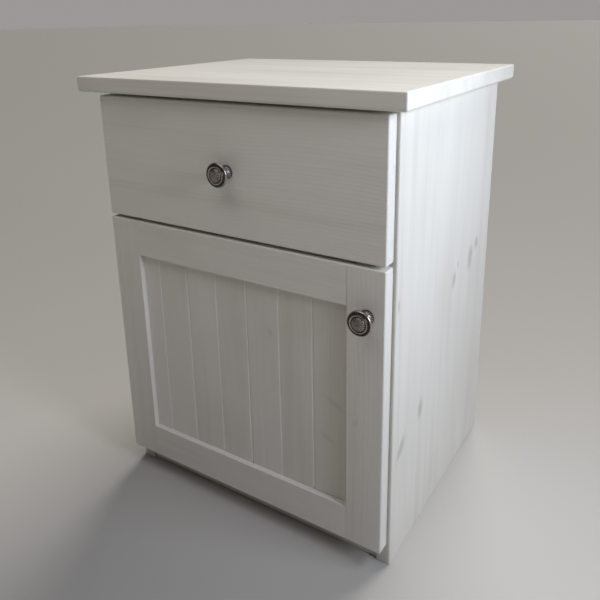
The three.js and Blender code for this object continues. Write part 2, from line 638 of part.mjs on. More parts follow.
hingeHeights.forEach(([name, z]) => {
  const pinHalf = CHEEK.outer - 0.1;
  const pin = rod(HINGE.pinRadius, "z", [HINGE.pinX, HINGE.pinY, z], [-pinHalf, pinHalf], 16);
  add(door, `hinge_cup_${name}`, hingeCup(z), MATERIALS.plainSteel);
  add(door, `hinge_pin_${name}`, pin, MATERIALS.plainSteel);
  add(carcass, `hinge_arm_${name}`, hingeArm(z), MATERIALS.plainSteel);
  add(carcass, `hinge_plate_${name}`, hingePlate(z), MATERIALS.plainSteel);
});

// ---- Magnetic catch under the middle rail, its strike on the door, and the buffers ----
const catchZ = [MID_RAIL_UNDERSIDE - FITTED - CATCH.height, MID_RAIL_UNDERSIDE - FITTED];
const shrink = ([low, high], by) => [low + by, high - by];
const magnetX = shrink(CATCH.x, CATCH.wall);
const magnetZ = shrink(catchZ, CATCH.wall);
const magnetBack = CATCH.back - CATCH.wall;
const magnetSeat = block(
  shrink(magnetX, -FITTED),
  [CATCH.front - 1, magnetBack + FITTED],
  shrink(magnetZ, -FITTED),
);
const catchHousing = block(CATCH.x, [CATCH.front, CATCH.back], catchZ).subtract(magnetSeat);
add(carcass, "catch_housing", catchHousing, MATERIALS.blackPlastic);
add(carcass, "catch_magnet", block(magnetX, [CATCH.magnetFace, magnetBack], magnetZ), MATERIALS.plainSteel);
const strikeY = [FRONTS_BACK + FITTED, FRONTS_BACK + FITTED + CATCH.strike];
add(door, "catch_strike", block(magnetX, strikeY, shrink(magnetZ, -2)), MATERIALS.plainSteel);

// A soft button on the back of a front, where it meets the carcass's front edge.
function buffer(x, z) {
  const { radius, face } = BUFFER;
  const base = FRONTS_BACK + FITTED;
  const profile = [[0, base], [radius, base], [radius - 0.6, face - 0.3], [radius / 2, face], [0, face]];
  return turned(profile, "y", [x, 0, z], 16);
}
const bufferX = INNER_X + BUFFER.fromSide;
add(door, "door_buffer_lower", buffer(bufferX, DOOR.bottom + BUFFER.inset), MATERIALS.clearRubber);
add(door, "door_buffer_upper", buffer(bufferX, DOOR.top - BUFFER.inset), MATERIALS.clearRubber);
both((name, direction) => {
  const shape = buffer(direction * bufferX, DRAWER_FRONT.top - BUFFER.inset);
  add(drawer, `drawer_buffer_${name}`, shape, MATERIALS.clearRubber);
});

// ---- The part's own frame: the middle of the whole depth, knobs included, comes to Y = 0 ----
const foremost = FRONTS_FACE - KNOB.reach;
cabinet.position.y = -(foremost + CARCASS.depth) / 2;
const part = new THREE.Group();
part.add(cabinet);

export default part;
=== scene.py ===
# Bedside cabinet in limed pine: finished boards, turned knobs, fittings, their materials, and the studio.
# Metres, in the row frame: +Z up, the fronts face -Y, the floor is Z = 0.
import json
import math

import bmesh
import bpy
from mathutils import Matrix, Vector


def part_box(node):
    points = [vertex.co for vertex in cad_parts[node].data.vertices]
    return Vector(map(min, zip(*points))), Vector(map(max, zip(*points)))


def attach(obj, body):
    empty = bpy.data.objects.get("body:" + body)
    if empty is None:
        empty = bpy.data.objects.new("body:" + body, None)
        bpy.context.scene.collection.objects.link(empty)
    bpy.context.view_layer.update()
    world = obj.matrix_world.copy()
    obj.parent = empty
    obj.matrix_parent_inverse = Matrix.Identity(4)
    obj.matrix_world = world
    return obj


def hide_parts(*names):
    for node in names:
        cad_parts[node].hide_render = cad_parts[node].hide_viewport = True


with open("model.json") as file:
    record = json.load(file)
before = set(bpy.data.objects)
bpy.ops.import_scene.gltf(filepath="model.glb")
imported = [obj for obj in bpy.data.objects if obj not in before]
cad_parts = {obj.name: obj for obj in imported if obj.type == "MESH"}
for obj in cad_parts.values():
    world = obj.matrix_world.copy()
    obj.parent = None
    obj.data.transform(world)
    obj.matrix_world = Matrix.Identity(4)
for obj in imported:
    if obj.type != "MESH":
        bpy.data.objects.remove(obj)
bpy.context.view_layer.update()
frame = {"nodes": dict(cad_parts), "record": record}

NODES = frame["nodes"]
SLOTS = {part["node"]: part["material_slot"] for part in frame["record"]["subparts"]}
MEMBERS = frame["record"]["behaviour"]["bodies"]
BODIES = {node: body for body, members in MEMBERS.items() for node in members}
MM = 0.001
X, Y, Z = 0, 1, 2

# ---- Camera ----
CAMERA_PLACE = Vector((0.4755, -0.7562, 0.6694))
CAMERA_AZIMUTH = math.radians(32.45)
CAMERA_ELEVATION = math.radians(16.6)
CAMERA_ROLL = math.radians(-1.05)
CAMERA_LENS = 38.55
CAMERA_SHIFT_Y = -0.152

# ---- Colours, linear ----
LIME = (0.74, 0.725, 0.675)
LIME_THIN = (0.56, 0.53, 0.465)
# The white of the painted highlight along the door's grooves.
GROOVE_HIGHLIGHT_WHITE = (0.95, 0.95, 0.94)
LIME_KNOT = (0.36, 0.32, 0.285)
PINE = (0.66, 0.46, 0.26)
PINE_LATE = (0.44, 0.24, 0.105)
PINE_KNOT = (0.17, 0.075, 0.03)
VENEER = (0.60, 0.45, 0.28)
VENEER_LATE = (0.46, 0.31, 0.17)
VENEER_DARK_PLY = (0.30, 0.16, 0.08)
BRONZE_DARK = (0.055, 0.040, 0.033)
BRONZE = (0.11, 0.086, 0.072)
BRONZE_RUBBED = (0.60, 0.56, 0.52)
NICKEL = (0.62, 0.615, 0.60)
NICKEL_DULL = (0.48, 0.475, 0.46)
POWDER = (0.80, 0.79, 0.755)
POWDER_GREY = (0.62, 0.61, 0.58)
NYLON = ((0.80, 0.79, 0.74), (0.68, 0.67, 0.62))
BLACK_PLASTIC = ((0.020, 0.020, 0.021), (0.034, 0.033, 0.033))
CLEAR_RUBBER = ((0.62, 0.64, 0.63), (0.50, 0.52, 0.51))
FLOOR_COLOR = (0.47, 0.455, 0.43)
ROOM_COLOR = (1.0, 0.965, 0.945)


def camera():
    """A camera at CAMERA_PLACE that looks down its azimuth and elevation, rolled a little."""
    sin_a, cos_a = math.sin(CAMERA_AZIMUTH), math.cos(CAMERA_AZIMUTH)
    sin_e, cos_e = math.sin(CAMERA_ELEVATION), math.cos(CAMERA_ELEVATION)
    back = Vector((sin_a * cos_e, -cos_a * cos_e, sin_e))
    right = Vector((0, 0, 1)).cross(back).normalized()
    up = back.cross(right)
    sin_r, cos_r = math.sin(CAMERA_ROLL), math.cos(CAMERA_ROLL)
    right, up = cos_r * right + sin_r * up, cos_r * up - sin_r * right
    data = bpy.data.cameras.new("camera")
    data.lens = CAMERA_LENS
    data.shift_y = CAMERA_SHIFT_Y
    data.clip_start = 10 * MM
    made = bpy.data.objects.new("camera", data)
    turn = Matrix((right, up, back)).transposed().to_4x4()
    made.matrix_world = Matrix.Translation(CAMERA_PLACE) @ turn
    bpy.context.scene.collection.objects.link(made)
    bpy.context.scene.camera = made


# ---- Node trees: a Wire is an output, and arithmetic on wires adds Math nodes ----
class Wire:
    def __init__(self, tree, socket):
        self.tree = tree
        self.socket = socket

    def math(self, operation, *others):
        return math_node(self.tree, operation, self, *others)

    def __add__(self, other):
        return self.math("ADD", other)

    def __sub__(self, other):
        return self.math("SUBTRACT", other)

    def __rsub__(self, other):
        return math_node(self.tree, "SUBTRACT", other, self)

    def __mul__(self, other):
        return self.math("MULTIPLY", other)

    def __truediv__(self, other):
        return self.math("DIVIDE", other)

    __radd__ = __add__


def feed(tree, value, socket):
    if isinstance(value, Wire):
        tree.links.new(value.socket, socket)
    else:
        socket.default_value = value


def math_node(tree, operation, *values):
    node = tree.nodes.new("ShaderNodeMath")
    node.operation = operation
    for value, socket in zip(values, node.inputs):
        feed(tree, value, socket)
    return Wire(tree, node.outputs[0])


def ease(value, low, high):
    """0 below low, 1 above high, and smooth between them. With low above high it falls instead."""
    tree = value.tree
    node = tree.nodes.new("ShaderNodeMapRange")
    node.interpolation_type = "SMOOTHSTEP"
    rising = low < high
    feed(tree, value, node.inputs["Value"])
    node.inputs["From Min"].default_value = min(low, high)
    node.inputs["From Max"].default_value = max(low, high)
    node.inputs["To Min"].default_value = 0.0 if rising else 1.0
    node.inputs["To Max"].default_value = 1.0 if rising else 0.0
    return Wire(tree, node.outputs["Result"])


def noise(tree, vector, detail, roughness=0.5):
    """Noise about 0.5 at a point given as three wires or numbers, already scaled."""
    join = tree.nodes.new("ShaderNodeCombineXYZ")
    for value, socket in zip(vector, join.inputs):
        feed(tree, value, socket)
    node = tree.nodes.new("ShaderNodeTexNoise")
    tree.links.new(join.outputs[0], node.inputs["Vector"])
    node.inputs["Scale"].default_value = 1.0
    node.inputs["Detail"].default_value = detail
    node.inputs["Roughness"].default_value = roughness
    return Wire(tree, node.outputs[0])


def chance(value):
    """A random number from 0 to 1 for each whole value."""
    node = value.tree.nodes.new("ShaderNodeTexWhiteNoise")
    node.noise_dimensions = "1D"
    feed(value.tree, value, node.inputs["W"])
    return Wire(value.tree, node.outputs["Value"])


def blend(factor, a, b):
    """Colour a where factor is 0 and colour b where it is 1. Each is a wire or a linear RGB colour."""
    tree = factor.tree
    node = tree.nodes.new("ShaderNodeMix")
    node.data_type = "RGBA"
    feed(tree, factor, node.inputs[0])
    for value, socket in ((a, node.inputs[6]), (b, node.inputs[7])):
        feed(tree, value if isinstance(value, Wire) else (*value, 1.0), socket)
    return Wire(tree, node.outputs[2])


def place(tree, space="Object"):
    """The point's X, Y and Z at rest, in metres. In a world, Generated gives the direction."""
    coordinates = tree.nodes.new("ShaderNodeTexCoord")
    split = tree.nodes.new("ShaderNodeSeparateXYZ")
    tree.links.new(coordinates.outputs[space], split.inputs[0])
    return [Wire(tree, socket) for socket in split.outputs]


def material(name, color=None, **sockets):
    """A new material and its tree. Keyword values go straight onto the shader's own sockets."""
    made = bpy.data.materials.new(name)
    made.use_nodes = True
    shader = made.node_tree.nodes["Principled BSDF"]
    if color:
        shader.inputs["Base Color"].default_value = (*color, 1.0)
    for socket, value in sockets.items():
        shader.inputs[socket.replace("_", " ").title().replace("Ior", "IOR")].default_value = value
    return made, made.node_tree


def wire_up(tree, color=None, roughness=None, height=None, depth=None):
    """Links the varying colour, roughness and bump height, which depth metres of relief go with."""
    shader = tree.nodes["Principled BSDF"]
    if color:
        tree.links.new(color.socket, shader.inputs["Base Color"])
    if roughness:
        tree.links.new(roughness.socket, shader.inputs["Roughness"])
    if height:
        bump = tree.nodes.new("ShaderNodeBump")
        bump.inputs["Strength"].default_value = 1.0
        bump.inputs["Distance"].default_value = depth
        tree.links.new(height.socket, bump.inputs["Height"])
        tree.links.new(bump.outputs[0], shader.inputs["Normal"])


# ---- Wood ----
# Stretched noises in the grain: cycles per metre along it and across it, and detail.
FIBRE = (14, 900, 3.0)
STREAK = (2.6, 170, 3.0)
BAND = (1.6, 34, 2.0)

# The pith: how far it drifts and leans along the board, how deep it lies, and how far the rings waver.
PITH_DRIFT = 50 * MM
PITH_LEAN = 0.09
PITH_DEPTH = 12 * MM
PITH_DEPTH_SPREAD = 50 * MM
RING_WAVER = 12 * MM

# How much each feature thins the lime, how much staves differ, and how dark the knots are under it.
THINNING = {
    "late": 0.05,
    "streak": 0.14,
    "band": 0.26,
    "cloud": 0.26,
    "fibre": 0.12,
    "worn": 0.08,
    "glue": 0.2,
}
TONE = 0.14
DOOR_TONE = 0.02
KNOT_DARKNESS = 0.2
SIDE_KNOT_DARKNESS = 0.5

# Ring widths, the width of a sheet with no staves, edge wear and the relief of each finish.
LIMED_RING = 4.6 * MM
BARE_RING = 4.2 * MM
VENEER_RING = 10.5 * MM
ONE_SHEET = 2.0
PLY_SHOWS = 2 * MM
GLUE_LINE = 0.6 * MM
WORN_IN = 1.8 * MM
WORN_OUT = 0.2 * MM
LIMED_RELIEF = 0.12 * MM
BARE_RELIEF = 0.16 * MM
VENEER_RELIEF = 0.15 * MM

# The grooves in the door's lining: their pitch, the first one's X, and how far the painted highlight along
# each groove reaches.
GROOVE_PITCH = 49.15 * MM
GROOVE_FIRST = -133.85 * MM
GROOVE_HIGHLIGHT_REACH = 1.9 * MM
GROOVE_HIGHLIGHT_FULL = 0.8 * MM


class Grain:
    """The figure of a solid board: growth rings about a wandering pith, fibres, staves and knots."""

    def __init__(self, tree, box, axis, stave, seed, ring, knots=()):
        low, high = box
        size = high - low
        across_axis, depth_axis = sorted((a for a in (X, Y, Z) if a != axis), key=lambda a: -size[a])
        point = place(tree)
        self.tree = tree
        self.seed = seed
        self.along = point[axis]
        self.across = point[across_axis]
        self.depth = point[depth_axis]
        self.edge = self.near_edge(point, low, high)
        strip = (self.across - low[across_axis]) / stave
        index = strip.math("FLOOR")
        self.lot = [chance(index + seed * 3.7 + k * 11.3) for k in range(3)]
        self.glue_line = ease(((strip - index) - 0.5).math("ABSOLUTE"), 0.5 - GLUE_LINE / stave, 0.5)
        self.knot, bulge = self.knots(knots)
        stave_middle = (index + 0.5) * stave + low[across_axis]
        wander = noise(tree, (self.along * 1.7, self.lot[0] * 9, seed), 1.0) - 0.5
        pith_across = stave_middle + (self.lot[0] - 0.5) * stave * 1.3 + wander * PITH_DRIFT
        board_middle = (low[depth_axis] + high[depth_axis]) / 2
        pith_depth = (self.lot[1] * PITH_DEPTH_SPREAD + PITH_DEPTH) + board_middle
        waver = (self.along * 5, self.across * 12, self.depth * 12 + seed)
        u = self.across - pith_across + (noise(tree, waver, 2.0) - 0.5) * RING_WAVER
        v = self.depth - pith_depth + self.along * (self.lot[2] - 0.5) * PITH_LEAN
        radius = (u * u + v * v).math("SQRT") + bulge
        phase = (radius / ring + self.lot[1] * 5).math("FRACT")
        self.late = ease(phase, 0.25, 0.88) * ease(phase, 1.0, 0.93)
        self.fibre = self.stretched(*FIBRE)
        self.streak = self.stretched(*STREAK)
        self.band = self.stretched(*BAND)
        self.cloud = noise(tree, (self.along * 4, self.across * 11, self.depth * 11 + seed), 2.0)

    def stretched(self, lengthwise, crosswise, detail):
        """Noise drawn out along the grain, which starts anew on each stave."""
        shifted = self.along * lengthwise + self.lot[0] * 40
        return noise(self.tree, (shifted, self.across * crosswise, self.depth * crosswise), detail, 0.6)

    def knots(self, knots):
        """The mask of knots (across, along, width, length, tilt), and how far they push the rings aside."""
        mask = self.along * 0
        bulge = self.along * 0
        for across, along, width, length, tilt in knots:
            turn = math.radians(tilt)
            side = self.across - across
            rise = self.along - along
            u = (side * math.cos(turn) + rise * math.sin(turn)) / (width / 2)
            v = (rise * math.cos(turn) - side * math.sin(turn)) / (length / 2)
            wobble = noise(self.tree, (u * 0.9 + across * 90, v * 0.9, self.seed), 2.0) - 0.5
            reach = (u * u + v * v).math("SQRT") + wobble * 0.7
            mask = mask.math("MAXIMUM", ease(reach, 1.5, 0.3))
            bulge = bulge + ease(reach, 4.5, 0.6) * width * 0.55
        return mask, bulge

    @staticmethod
    def near_edge(point, low, high):
        """How far a point on the board's skin lies from the nearest edge of its box."""
        middle = (low + high) / 2
        reach = (high - low) / 2
        gaps = [(point[axis] - middle[axis]).math("ABSOLUTE") * -1 + reach[axis] for axis in (X, Y, Z)]
        least = gaps[0].math("MINIMUM", gaps[1])
        most = gaps[0].math("MAXIMUM", gaps[1])
        return least.math("MAXIMUM", most.math("MINIMUM", gaps[2]))


def limed_pine(
    name, box, axis, stave, seed, knots, tone=TONE, figure=1.0, darkness=KNOT_DARKNESS, grooved=False
):
    """Pine under a thin white wash: the wash is thinner on the hard rings, on the knots and along worn edges.
    Staves differ by tone. On a grooved board, whiter lime along each groove is a painted highlight that
    stands in for the light on its lit flank."""
    made, tree = material(name, specular_ior_level=0.35)
    grain = Grain(tree, box, axis, stave, seed, LIMED_RING, knots)
    thin = grain.late * THINNING["late"] + ease(grain.streak, 0.5, 0.8) * THINNING["streak"] * figure
    thin = thin + (grain.lot[2] - 0.5) * tone
    thin = thin + ease(grain.band, 0.45, 0.75) * THINNING["band"] * figure
    thin = thin + ease(grain.cloud, 0.4, 0.7) * THINNING["cloud"]
    thin = thin + ease(grain.fibre, 0.5, 0.8) * THINNING["fibre"]
    worn = ease(grain.edge + (grain.fibre - 0.5) * 3 * MM, WORN_IN, WORN_OUT)
    thin = thin + worn * THINNING["worn"] + grain.glue_line * THINNING["glue"]
    color = blend(thin.math("MINIMUM", 0.9), LIME, LIME_THIN)
    color = blend(grain.knot * darkness, color, LIME_KNOT)
    if grooved:
        # Painted highlight: whiter lime along each groove stands in for the light on the groove's lit flank.
        turn = (grain.across - GROOVE_FIRST) / GROOVE_PITCH + 0.5
        gap = ((turn - turn.math("FLOOR")) - 0.5).math("ABSOLUTE") * GROOVE_PITCH
        color = blend(ease(gap, GROOVE_HIGHLIGHT_REACH, GROOVE_HIGHLIGHT_FULL) * 0.45, color, GROOVE_HIGHLIGHT_WHITE)
    roughness = 0.5 + grain.fibre * 0.14 + grain.late * -0.08 + grain.streak * 0.08
    height = grain.fibre * 0.5 + grain.late * 0.4 + grain.streak * 0.6 + grain.glue_line * -0.5
    wire_up(tree, color, roughness, height, LIMED_RELIEF)
    return made


def bare_pine(name, box, axis, stave, seed, knots):
    """Planed pine under a clear seal, with dark rings and knots."""
    made, tree = material(name, coat_weight=0.12, coat_roughness=0.4)
    grain = Grain(tree, box, axis, stave, seed, BARE_RING, knots)
    tone = grain.late * 0.62 + (grain.lot[2] - 0.5) * 0.2 + ease(grain.streak, 0.45, 0.75) * 0.16
    color = blend((tone + grain.glue_line * 0.4).math("MAXIMUM", 0), PINE, PINE_LATE)
    color = blend(grain.knot * (0.6 + grain.late * 0.4), color, PINE_KNOT)
    roughness = 0.46 + grain.fibre * 0.16 + grain.late * -0.08
    wire_up(tree, color, roughness, grain.fibre * 0.6 + grain.late * 0.4, BARE_RELIEF)
    return made


def plywood(name, box, axis, seed, ply):
    """Rotary veneer, whose figure follows the contours of a slow noise, and the plies on the cut edges."""
    made, tree = material(name)
    grain = Grain(tree, box, axis, ONE_SHEET, seed, VENEER_RING)
    slow = noise(tree, (grain.along * 1.5, grain.across * 7.5, seed), 1.0)
    ripple = noise(tree, (grain.along * 9, grain.across * 60, seed), 2.0)
    phase = (slow * 13 + ripple * 0.5).math("FRACT")
    late = ease(phase, 0.35, 0.9) * ease(phase, 1.0, 0.94)
    layer = (grain.depth / ply).math("FRACT")
    dark_ply = ease((layer - 0.5).math("ABSOLUTE"), 0.2, 0.26)
    tone = late * 0.42 + ease(grain.streak, 0.4, 0.8) * 0.3 + ease(grain.cloud, 0.4, 0.7) * 0.2
    color = blend(tone, VENEER, VENEER_LATE)
    cut_edge = ease(grain.edge, PLY_SHOWS + 0.1 * MM, PLY_SHOWS - 0.1 * MM)
    color = blend(dark_ply * cut_edge, color, VENEER_DARK_PLY)
    roughness = 0.58 + grain.fibre * 0.16
    wire_up(tree, color, roughness, grain.fibre * 0.7 + late * 0.2, VENEER_RELIEF)
    return made


# ---- Metals and plastics ----
# Radii on the knob in mm, the number of leaves on its dome, and how fast they twist in radians per metre.
KNOB_RIM = 14.9
KNOB_RING = 10.2
KNOB_DOME = 8.4
KNOB_LEAVES = 18
LEAF_TWIST = 260

BRONZE_RELIEF = 0.07 * MM
NICKEL_RELIEF = 0.03 * MM
POWDER_RELIEF = 0.08 * MM
MOULDED_RELIEF = 0.05 * MM


def aged_bronze(name, centre):
    """Nearly black bronze, rubbed bright on the knob's rim and ring, and grey over the leaves on its dome."""
    made, tree = material(name, metallic=1.0)
    point = place(tree)
    across = point[X] - centre[X]
    up = point[Z] - centre[Z]
    radius = (across * across + up * up).math("SQRT")
    leaf = ((up.math("ARCTAN2", across) * KNOB_LEAVES + radius * LEAF_TWIST).math("COSINE") + 1) * 0.5
    mottle = noise(tree, [value * 420 for value in point], 4.0, 0.6)
    scratch = noise(tree, (across * 260, point[Y] * 1500, up * 260), 3.0)
    rim = ease((radius - KNOB_RIM * MM).math("ABSOLUTE"), 1.2 * MM, 0.4 * MM)
    ring = ease((radius - KNOB_RING * MM).math("ABSOLUTE"), 1.2 * MM, 0.3 * MM)
    dome = ease(radius, (KNOB_DOME + 0.4) * MM, (KNOB_DOME - 0.6) * MM) * (1 - leaf * 0.75)
    rubbed = (rim * 0.8 + ring + dome * 0.8).math("MINIMUM", 1) * ease(mottle, 0.2, 0.5)
    color = blend(ease(mottle, 0.35, 0.7), BRONZE_DARK, BRONZE)
    color = blend(rubbed * 0.85, color, BRONZE_RUBBED)
    roughness = 0.24 + mottle * 0.16 + dome * 0.16
    wire_up(tree, color, roughness, mottle * 0.6 + scratch * 0.4, BRONZE_RELIEF)
    return made


def plain_steel(name):
    """Nickel-plated steel with a fine brushed grain and a few dull patches."""
    made, tree = material(name, metallic=1.0)
    point = place(tree)
    brushed = noise(tree, (point[X] * 180, point[Y] * 180, point[Z] * 3200), 3.0)
    dull = noise(tree, [value * 130 for value in point], 3.0)
    color = blend(ease(dull, 0.35, 0.75), NICKEL, NICKEL_DULL)
    wire_up(tree, color, 0.24 + brushed * 0.16 + dull * 0.1, brushed, NICKEL_RELIEF)
    return made


def coated_steel(name):
    """White powder coat, with its orange-peel skin and a little grey rubbed in."""
    made, tree = material(name)
    point = place(tree)
    peel = noise(tree, [value * 900 for value in point], 2.0)
    rubbed = noise(tree, (point[X] * 90, point[Y] * 12, point[Z] * 90), 4.0)
    color = blend(ease(rubbed, 0.5, 0.8), POWDER, POWDER_GREY)
    wire_up(tree, color, 0.36 + peel * 0.14, peel, POWDER_RELIEF)
    return made


def moulded(name, colors, roughness):
    """Moulded plastic or rubber: a fine even skin and slight clouding."""
    made, tree = material(name)
    point = place(tree)
    skin = noise(tree, [value * 1900 for value in point], 2.0)
    cloud = noise(tree, [value * 160 for value in point], 3.0)
    color = blend(ease(cloud, 0.3, 0.7), *colors)
    wire_up(tree, color, roughness + skin * 0.12, skin, MOULDED_RELIEF)
    return made


# ---- Shapes ----
SAME_POINT = 0.004 * MM
FLAT_ANGLE = math.radians(0.3)
EASED_ANGLE = math.radians(40)
SHARP_ANGLE = math.radians(35)
KNOB_SHARP_ANGLE = math.radians(50)


def piece(name, shape, node, finish, sharp=SHARP_ANGLE):
    """Turns a bmesh into a named object that stands for a CAD node, with its body and material."""
    mesh = bpy.data.meshes.new(name)
    bmesh.ops.recalc_face_normals(shape, faces=shape.faces)
    for face in shape.faces:
        face.smooth = True
    shape.to_mesh(mesh)
    shape.free()
    mesh.set_sharp_from_angle(angle=sharp)
    mesh.materials.append(finish)
    made = bpy.data.objects.new(name, mesh)
    bpy.context.scene.collection.objects.link(made)
    weighted = made.modifiers.new("weighted_normals", "WEIGHTED_NORMAL")
    weighted.keep_sharp = True
    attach(made, BODIES[node])
    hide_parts(node)
    return made


def eased(node, finish, round_off, seam=None):
    """A copy of a CAD node's shape with its sharp edges rounded, which stands for the node.
    Edges whose ends are both further out than seam in X stay sharp, as they close against the next board."""
    shape = bmesh.new()
    shape.from_mesh(NODES[node].data)
    bmesh.ops.remove_doubles(shape, verts=shape.verts, dist=SAME_POINT)
    bmesh.ops.dissolve_limit(
        shape,
        angle_limit=FLAT_ANGLE,
        verts=shape.verts,
        edges=shape.edges,
        delimit=set(),
    )
    edges = [edge for edge in shape.edges if edge.is_manifold and edge.calc_face_angle() > EASED_ANGLE]
    if seam:
        edges = [edge for edge in edges if min(abs(vert.co.x) for vert in edge.verts) < seam]
    bmesh.ops.bevel(
        shape,
        geom=edges,
        offset=round_off,
        segments=2,
        profile=0.5,
        affect="EDGES",
        clamp_overlap=True,
    )
    return piece(f"{node}_finished", shape, node, finish)


def loft(rings):
    """A closed bmesh through a stack of rings with the same number of points, capped at both ends."""
    shape = bmesh.new()
    levels = [[shape.verts.new(point) for point in ring] for ring in rings]
    for lower, upper in zip(levels, levels[1:]):
        for i in range(len(lower)):
            j = (i + 1) % len(lower)
            shape.faces.new((lower[i], lower[j], upper[j], upper[i]))
    shape.faces.new(levels[0])
    shape.faces.new(levels[-1])
    return shape


def arc(u, v, radius, start, end, steps):
    """Points along an arc about (u, v), from one angle in degrees to another."""
    turns = (math.radians(start + (end - start) * i / steps) for i in range(steps + 1))
    return [(u + radius * math.cos(turn), v + radius * math.sin(turn)) for turn in turns]


# ---- Top ----
TOP_UNDER_ROUND = 4 * MM
TOP_UPPER_ROUND = 2 * MM
TOP_CORNER = 2 * MM
BOARD_EDGE = 0.5 * MM


def top_board(finish):
    """Square at the back, and rounded along the front and both ends."""
    low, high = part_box("top")
    under = arc(0, 0, 1, -90, 0, 14)
    upper = arc(0, 0, 1, 0, 90, 8)
    levels = [((1 - u) * TOP_UNDER_ROUND, low.z + (1 + v) * TOP_UNDER_ROUND) for u, v in under]
    levels += [((1 - u) * TOP_UPPER_ROUND, high.z - (1 - v) * TOP_UPPER_ROUND) for u, v in upper]
    rings = []
    for inset, z in levels:
        radius = max(TOP_CORNER - inset, BOARD_EDGE)
        x, y = high.x - inset, low.y + inset
        ring = [(x, high.y), (-x, high.y)]
        ring += arc(-x + radius, y + radius, radius, 180, 270, 8)
        ring += arc(x - radius, y + radius, radius, 270, 360, 8)
        rings.append([(u, v, z) for u, v in ring])
    return piece("top_board", loft(rings), "top", finish)


# ---- Knobs ----
KNOB_REACH = 26 * MM
KNOB_LEAF_DEPTH = 0.34 * MM
KNOB_SEGMENTS = 144

# Heights in mm above the face, of the dome's edge and of where the leaves start.
KNOB_DOME_HEIGHT = 22.6
KNOB_LEAVES_HEIGHT = 22


def bezier(a, b, c, d, steps):
    """Points on a cubic curve from a to d, pulled towards b and c."""
    made = []
    for i in range(steps + 1):
        t = i / steps
        weights = ((1 - t) ** 3, 3 * t * (1 - t) ** 2, 3 * t * t * (1 - t), t**3)
        made.append(tuple(sum(w * p[k] for w, p in zip(weights, (a, b, c, d))) for k in (0, 1)))
    return made


def knob_profile():
    """Radius and height above the face in mm, from the screw's bore to the middle of the dome."""
    rise = KNOB_REACH / MM - KNOB_DOME_HEIGHT
    dome_radius = (KNOB_DOME**2 + rise**2) / (2 * rise)
    dome_start = math.degrees(math.acos(KNOB_DOME / dome_radius))
    profile = [(0, 12), (2.2, 12), (2.2, 0.3), (8.4, 0.3), (8.7, 0.7)]
    profile += bezier((8.8, 1.4), (3, 3), (3, 12), (13.6, 17.2), 22)
    profile += arc(13.2, 19.2, 2, -60, 110, 14)
    profile += arc(10.3, 21, 1.6, 10, 170, 12)
    profile += arc(0, KNOB_REACH / MM - dome_radius, dome_radius, dome_start, 90, 18)[:-1]
    return profile


def knob(name, node, finish):
    """Turned about Y, with shallow leaves pressed into the dome."""
    low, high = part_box(node)
    centre = (low + high) / 2
    face = low.y + KNOB_REACH
    shape = bmesh.new()
    rings = []
    for radius, height in knob_profile():
        on_axis = radius == 0
        ring = []
        for i in range(1 if on_axis else KNOB_SEGMENTS):
            turn = 2 * math.pi * i / KNOB_SEGMENTS
            sunk = 0.0
            if height > KNOB_LEAVES_HEIGHT and radius < KNOB_DOME:
                leaf = 0.5 + 0.5 * math.cos(KNOB_LEAVES * turn + LEAF_TWIST * radius * MM)
                sunk = KNOB_LEAF_DEPTH * leaf**2 * math.sin(math.pi * (radius / KNOB_DOME)) ** 0.8
            ring.append(shape.verts.new((
                centre.x + radius * MM * math.cos(turn),
                face - height * MM + sunk,
                centre.z + radius * MM * math.sin(turn),
            )))
        rings.append(ring)
    tip = shape.verts.new((centre.x, face - KNOB_REACH, centre.z))
    rings.append([tip])
    for lower, upper in zip(rings, rings[1:]):
        for i in range(KNOB_SEGMENTS):
            j = (i + 1) % KNOB_SEGMENTS
            below = [lower[i % len(lower)], lower[j % len(lower)]]
            above = [upper[j % len(upper)], upper[i % len(upper)]]
            shape.faces.new(list(dict.fromkeys(below + above)))
    return piece(name, shape, node, finish, KNOB_SHARP_ANGLE)


# ---- Boards ----
# Grain axis, stave width in metres, and knots as (across, along, width, length, tilt in degrees).
LIMED_BOARDS = {
    "side_left": (Z, 0.088, [(-0.02, 0.44, 0.012, 0.022, 8), (0.09, 0.21, 0.015, 0.03, -6)]),
    "side_right": (Z, 0.079, [
        (0.113, 0.331, 0.019, 0.034, -14),
        (0.139, 0.345, 0.013, 0.019, 0),
        (0.046, 0.320, 0.013, 0.024, -10),
        (0.060, 0.338, 0.005, 0.010, 0),
        (-0.063, 0.180, 0.014, 0.030, -4),
        (-0.123, 0.158, 0.014, 0.034, -38),
        (-0.142, 0.356, 0.006, 0.016, 0),
    ]),
    "top_rail_front": (X, 0.1, []),
    "top_rail_rear": (X, 0.1, []),
    "mid_rail_front": (X, 0.1, []),
    "mid_rail_rear": (X, 0.1, []),
    "bottom_panel": (X, 0.085, [(-0.06, -0.09, 0.016, 0.022, 0)]),
    "kick_board": (X, 0.1, []),
    "door_stile_left": (Z, 0.1, []),
    "door_stile_right": (Z, 0.1, [(0.175, 0.208, 0.006, 0.008, 0)]),
    "door_rail_top": (X, 0.1, []),
    "door_rail_bottom": (X, 0.1, []),
    "door_lining_1": (Z, 0.3, []),
    "door_lining_2": (Z, 0.3, []),
    "door_lining_3": (Z, 0.3, [(0.05, 0.29, 0.006, 0.012, 10)]),
    "door_lining_4": (Z, 0.3, [(0.143, 0.218, 0.007, 0.034, 62), (0.131, 0.167, 0.007, 0.022, 70)]),
    "drawer_front": (X, 0.24, []),
}
BARE_BOARDS = {
    "drawer_side_left": (Y, 0.3, [(0.47, 0.03, 0.012, 0.02, 0)]),
    "drawer_side_right": (Y, 0.3, []),
    "drawer_box_front": (X, 0.3, []),
    "drawer_box_back": (X, 0.3, [(0.50, 0.06, 0.013, 0.024, 0)]),
}
PLY = 1.34 * MM
